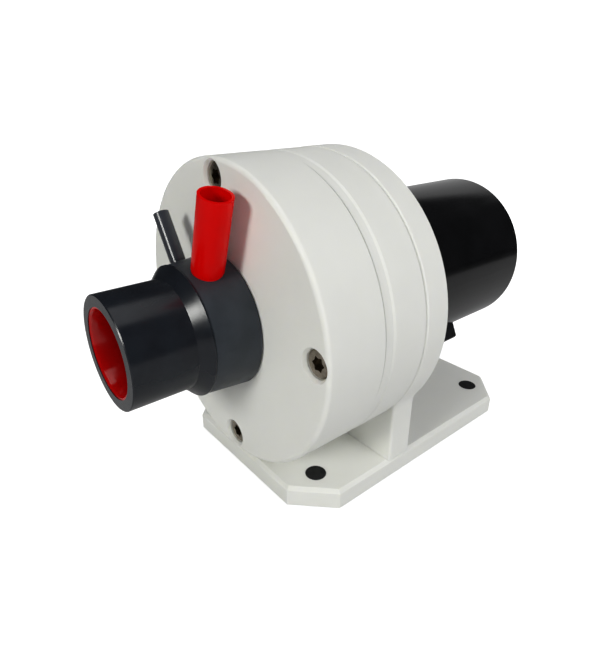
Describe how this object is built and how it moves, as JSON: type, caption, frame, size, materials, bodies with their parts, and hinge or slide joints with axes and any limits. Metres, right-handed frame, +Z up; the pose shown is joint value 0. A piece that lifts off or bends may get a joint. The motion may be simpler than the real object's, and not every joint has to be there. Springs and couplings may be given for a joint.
{
  "type": "wave maker pump",
  "caption": "Pond or aquarium pump: round white casing on a base plate, grey suction fitting with a red venturi nozzle and air tube, black canned motor behind.",
  "frame": {"origin": "on the standing surface, below the middle of the whole pump's outer box", "axes": "+Z up, +Y along the pump axis from the suction end towards the motor, -X towards the outlet"},
  "size_m": [0.2022, 0.2926, 0.2016],
  "materials": {
    "white_plastic": "machined satin",
    "black_rubber": "matt",
    "steel": "satin",
    "grey_matt_pvc": "machined matt",
    "grey_gloss_pvc": "moulded semi-gloss",
    "red_plastic": "moulded semi-gloss",
    "black_plastic_inner": "moulded",
    "aluminium": "machined",
    "ceramic": "polished",
    "black_motor_plastic": "smooth gloss",
    "stator_steel": "laminated",
    "copper": "enamelled wire",
    "board": "circuit board",
    "resin": "cast",
    "magnet": "sintered",
    "white_nylon": "moulded",
    "black_plastic": "moulded"
  },
  "bodies": {
    "pump": {"air_intake_tube": "red_plastic", "base_plate": "white_plastic", "bleed_tube": "grey_gloss_pvc", "cable_entry_block": "black_plastic", "cable_gland": "black_plastic", "casing_inserts": "steel", "casing_screws": "steel", "foot_screws": "steel", "front_bearing": "ceramic", "front_bearing_carrier": "black_plastic_inner", "front_bearing_seat": "black_rubber", "front_casing": "white_plastic", "front_casing_seal": "black_rubber", "gland_nut": "black_plastic", "gland_seal": "black_rubber", "isolation_can": "black_plastic_inner", "isolation_seal": "black_rubber", "motor_can": "black_motor_plastic", "motor_flange": "aluminium", "motor_inserts": "steel", "motor_screws": "steel", "outlet_seal": "black_rubber", "outlet_socket": "grey_gloss_pvc", "potting_resin": "resin", "rear_bearing": "ceramic", "rear_bearing_seat": "black_rubber", "rear_casing_seal": "black_rubber", "rear_plate": "white_plastic", "rubber_feet": "black_rubber", "stator_coils": "copper", "stator_core": "stator_steel", "suction_body": "grey_matt_pvc", "suction_seal": "black_rubber", "suction_socket": "grey_gloss_pvc", "terminal_board": "board", "venturi_nozzle": "red_plastic", "volute_ring": "white_plastic"},
    "rotor": {"shaft": "ceramic", "rotor_magnet": "magnet", "rotor_sleeve": "black_plastic_inner", "front_thrust_washer": "ceramic", "rear_thrust_washer": "ceramic", "impeller": "white_nylon", "impeller_needles": "white_nylon", "impeller_washer": "black_rubber", "impeller_nut": "grey_matt_pvc"}
  },
  "joints": [
    {"name": "rotor_spin", "type": "hinge", "parent": "pump", "child": "rotor", "pos_m": [0.01085, 0, 0.1113], "axis": [0, 1, 0], "continuous": true}
  ]
}
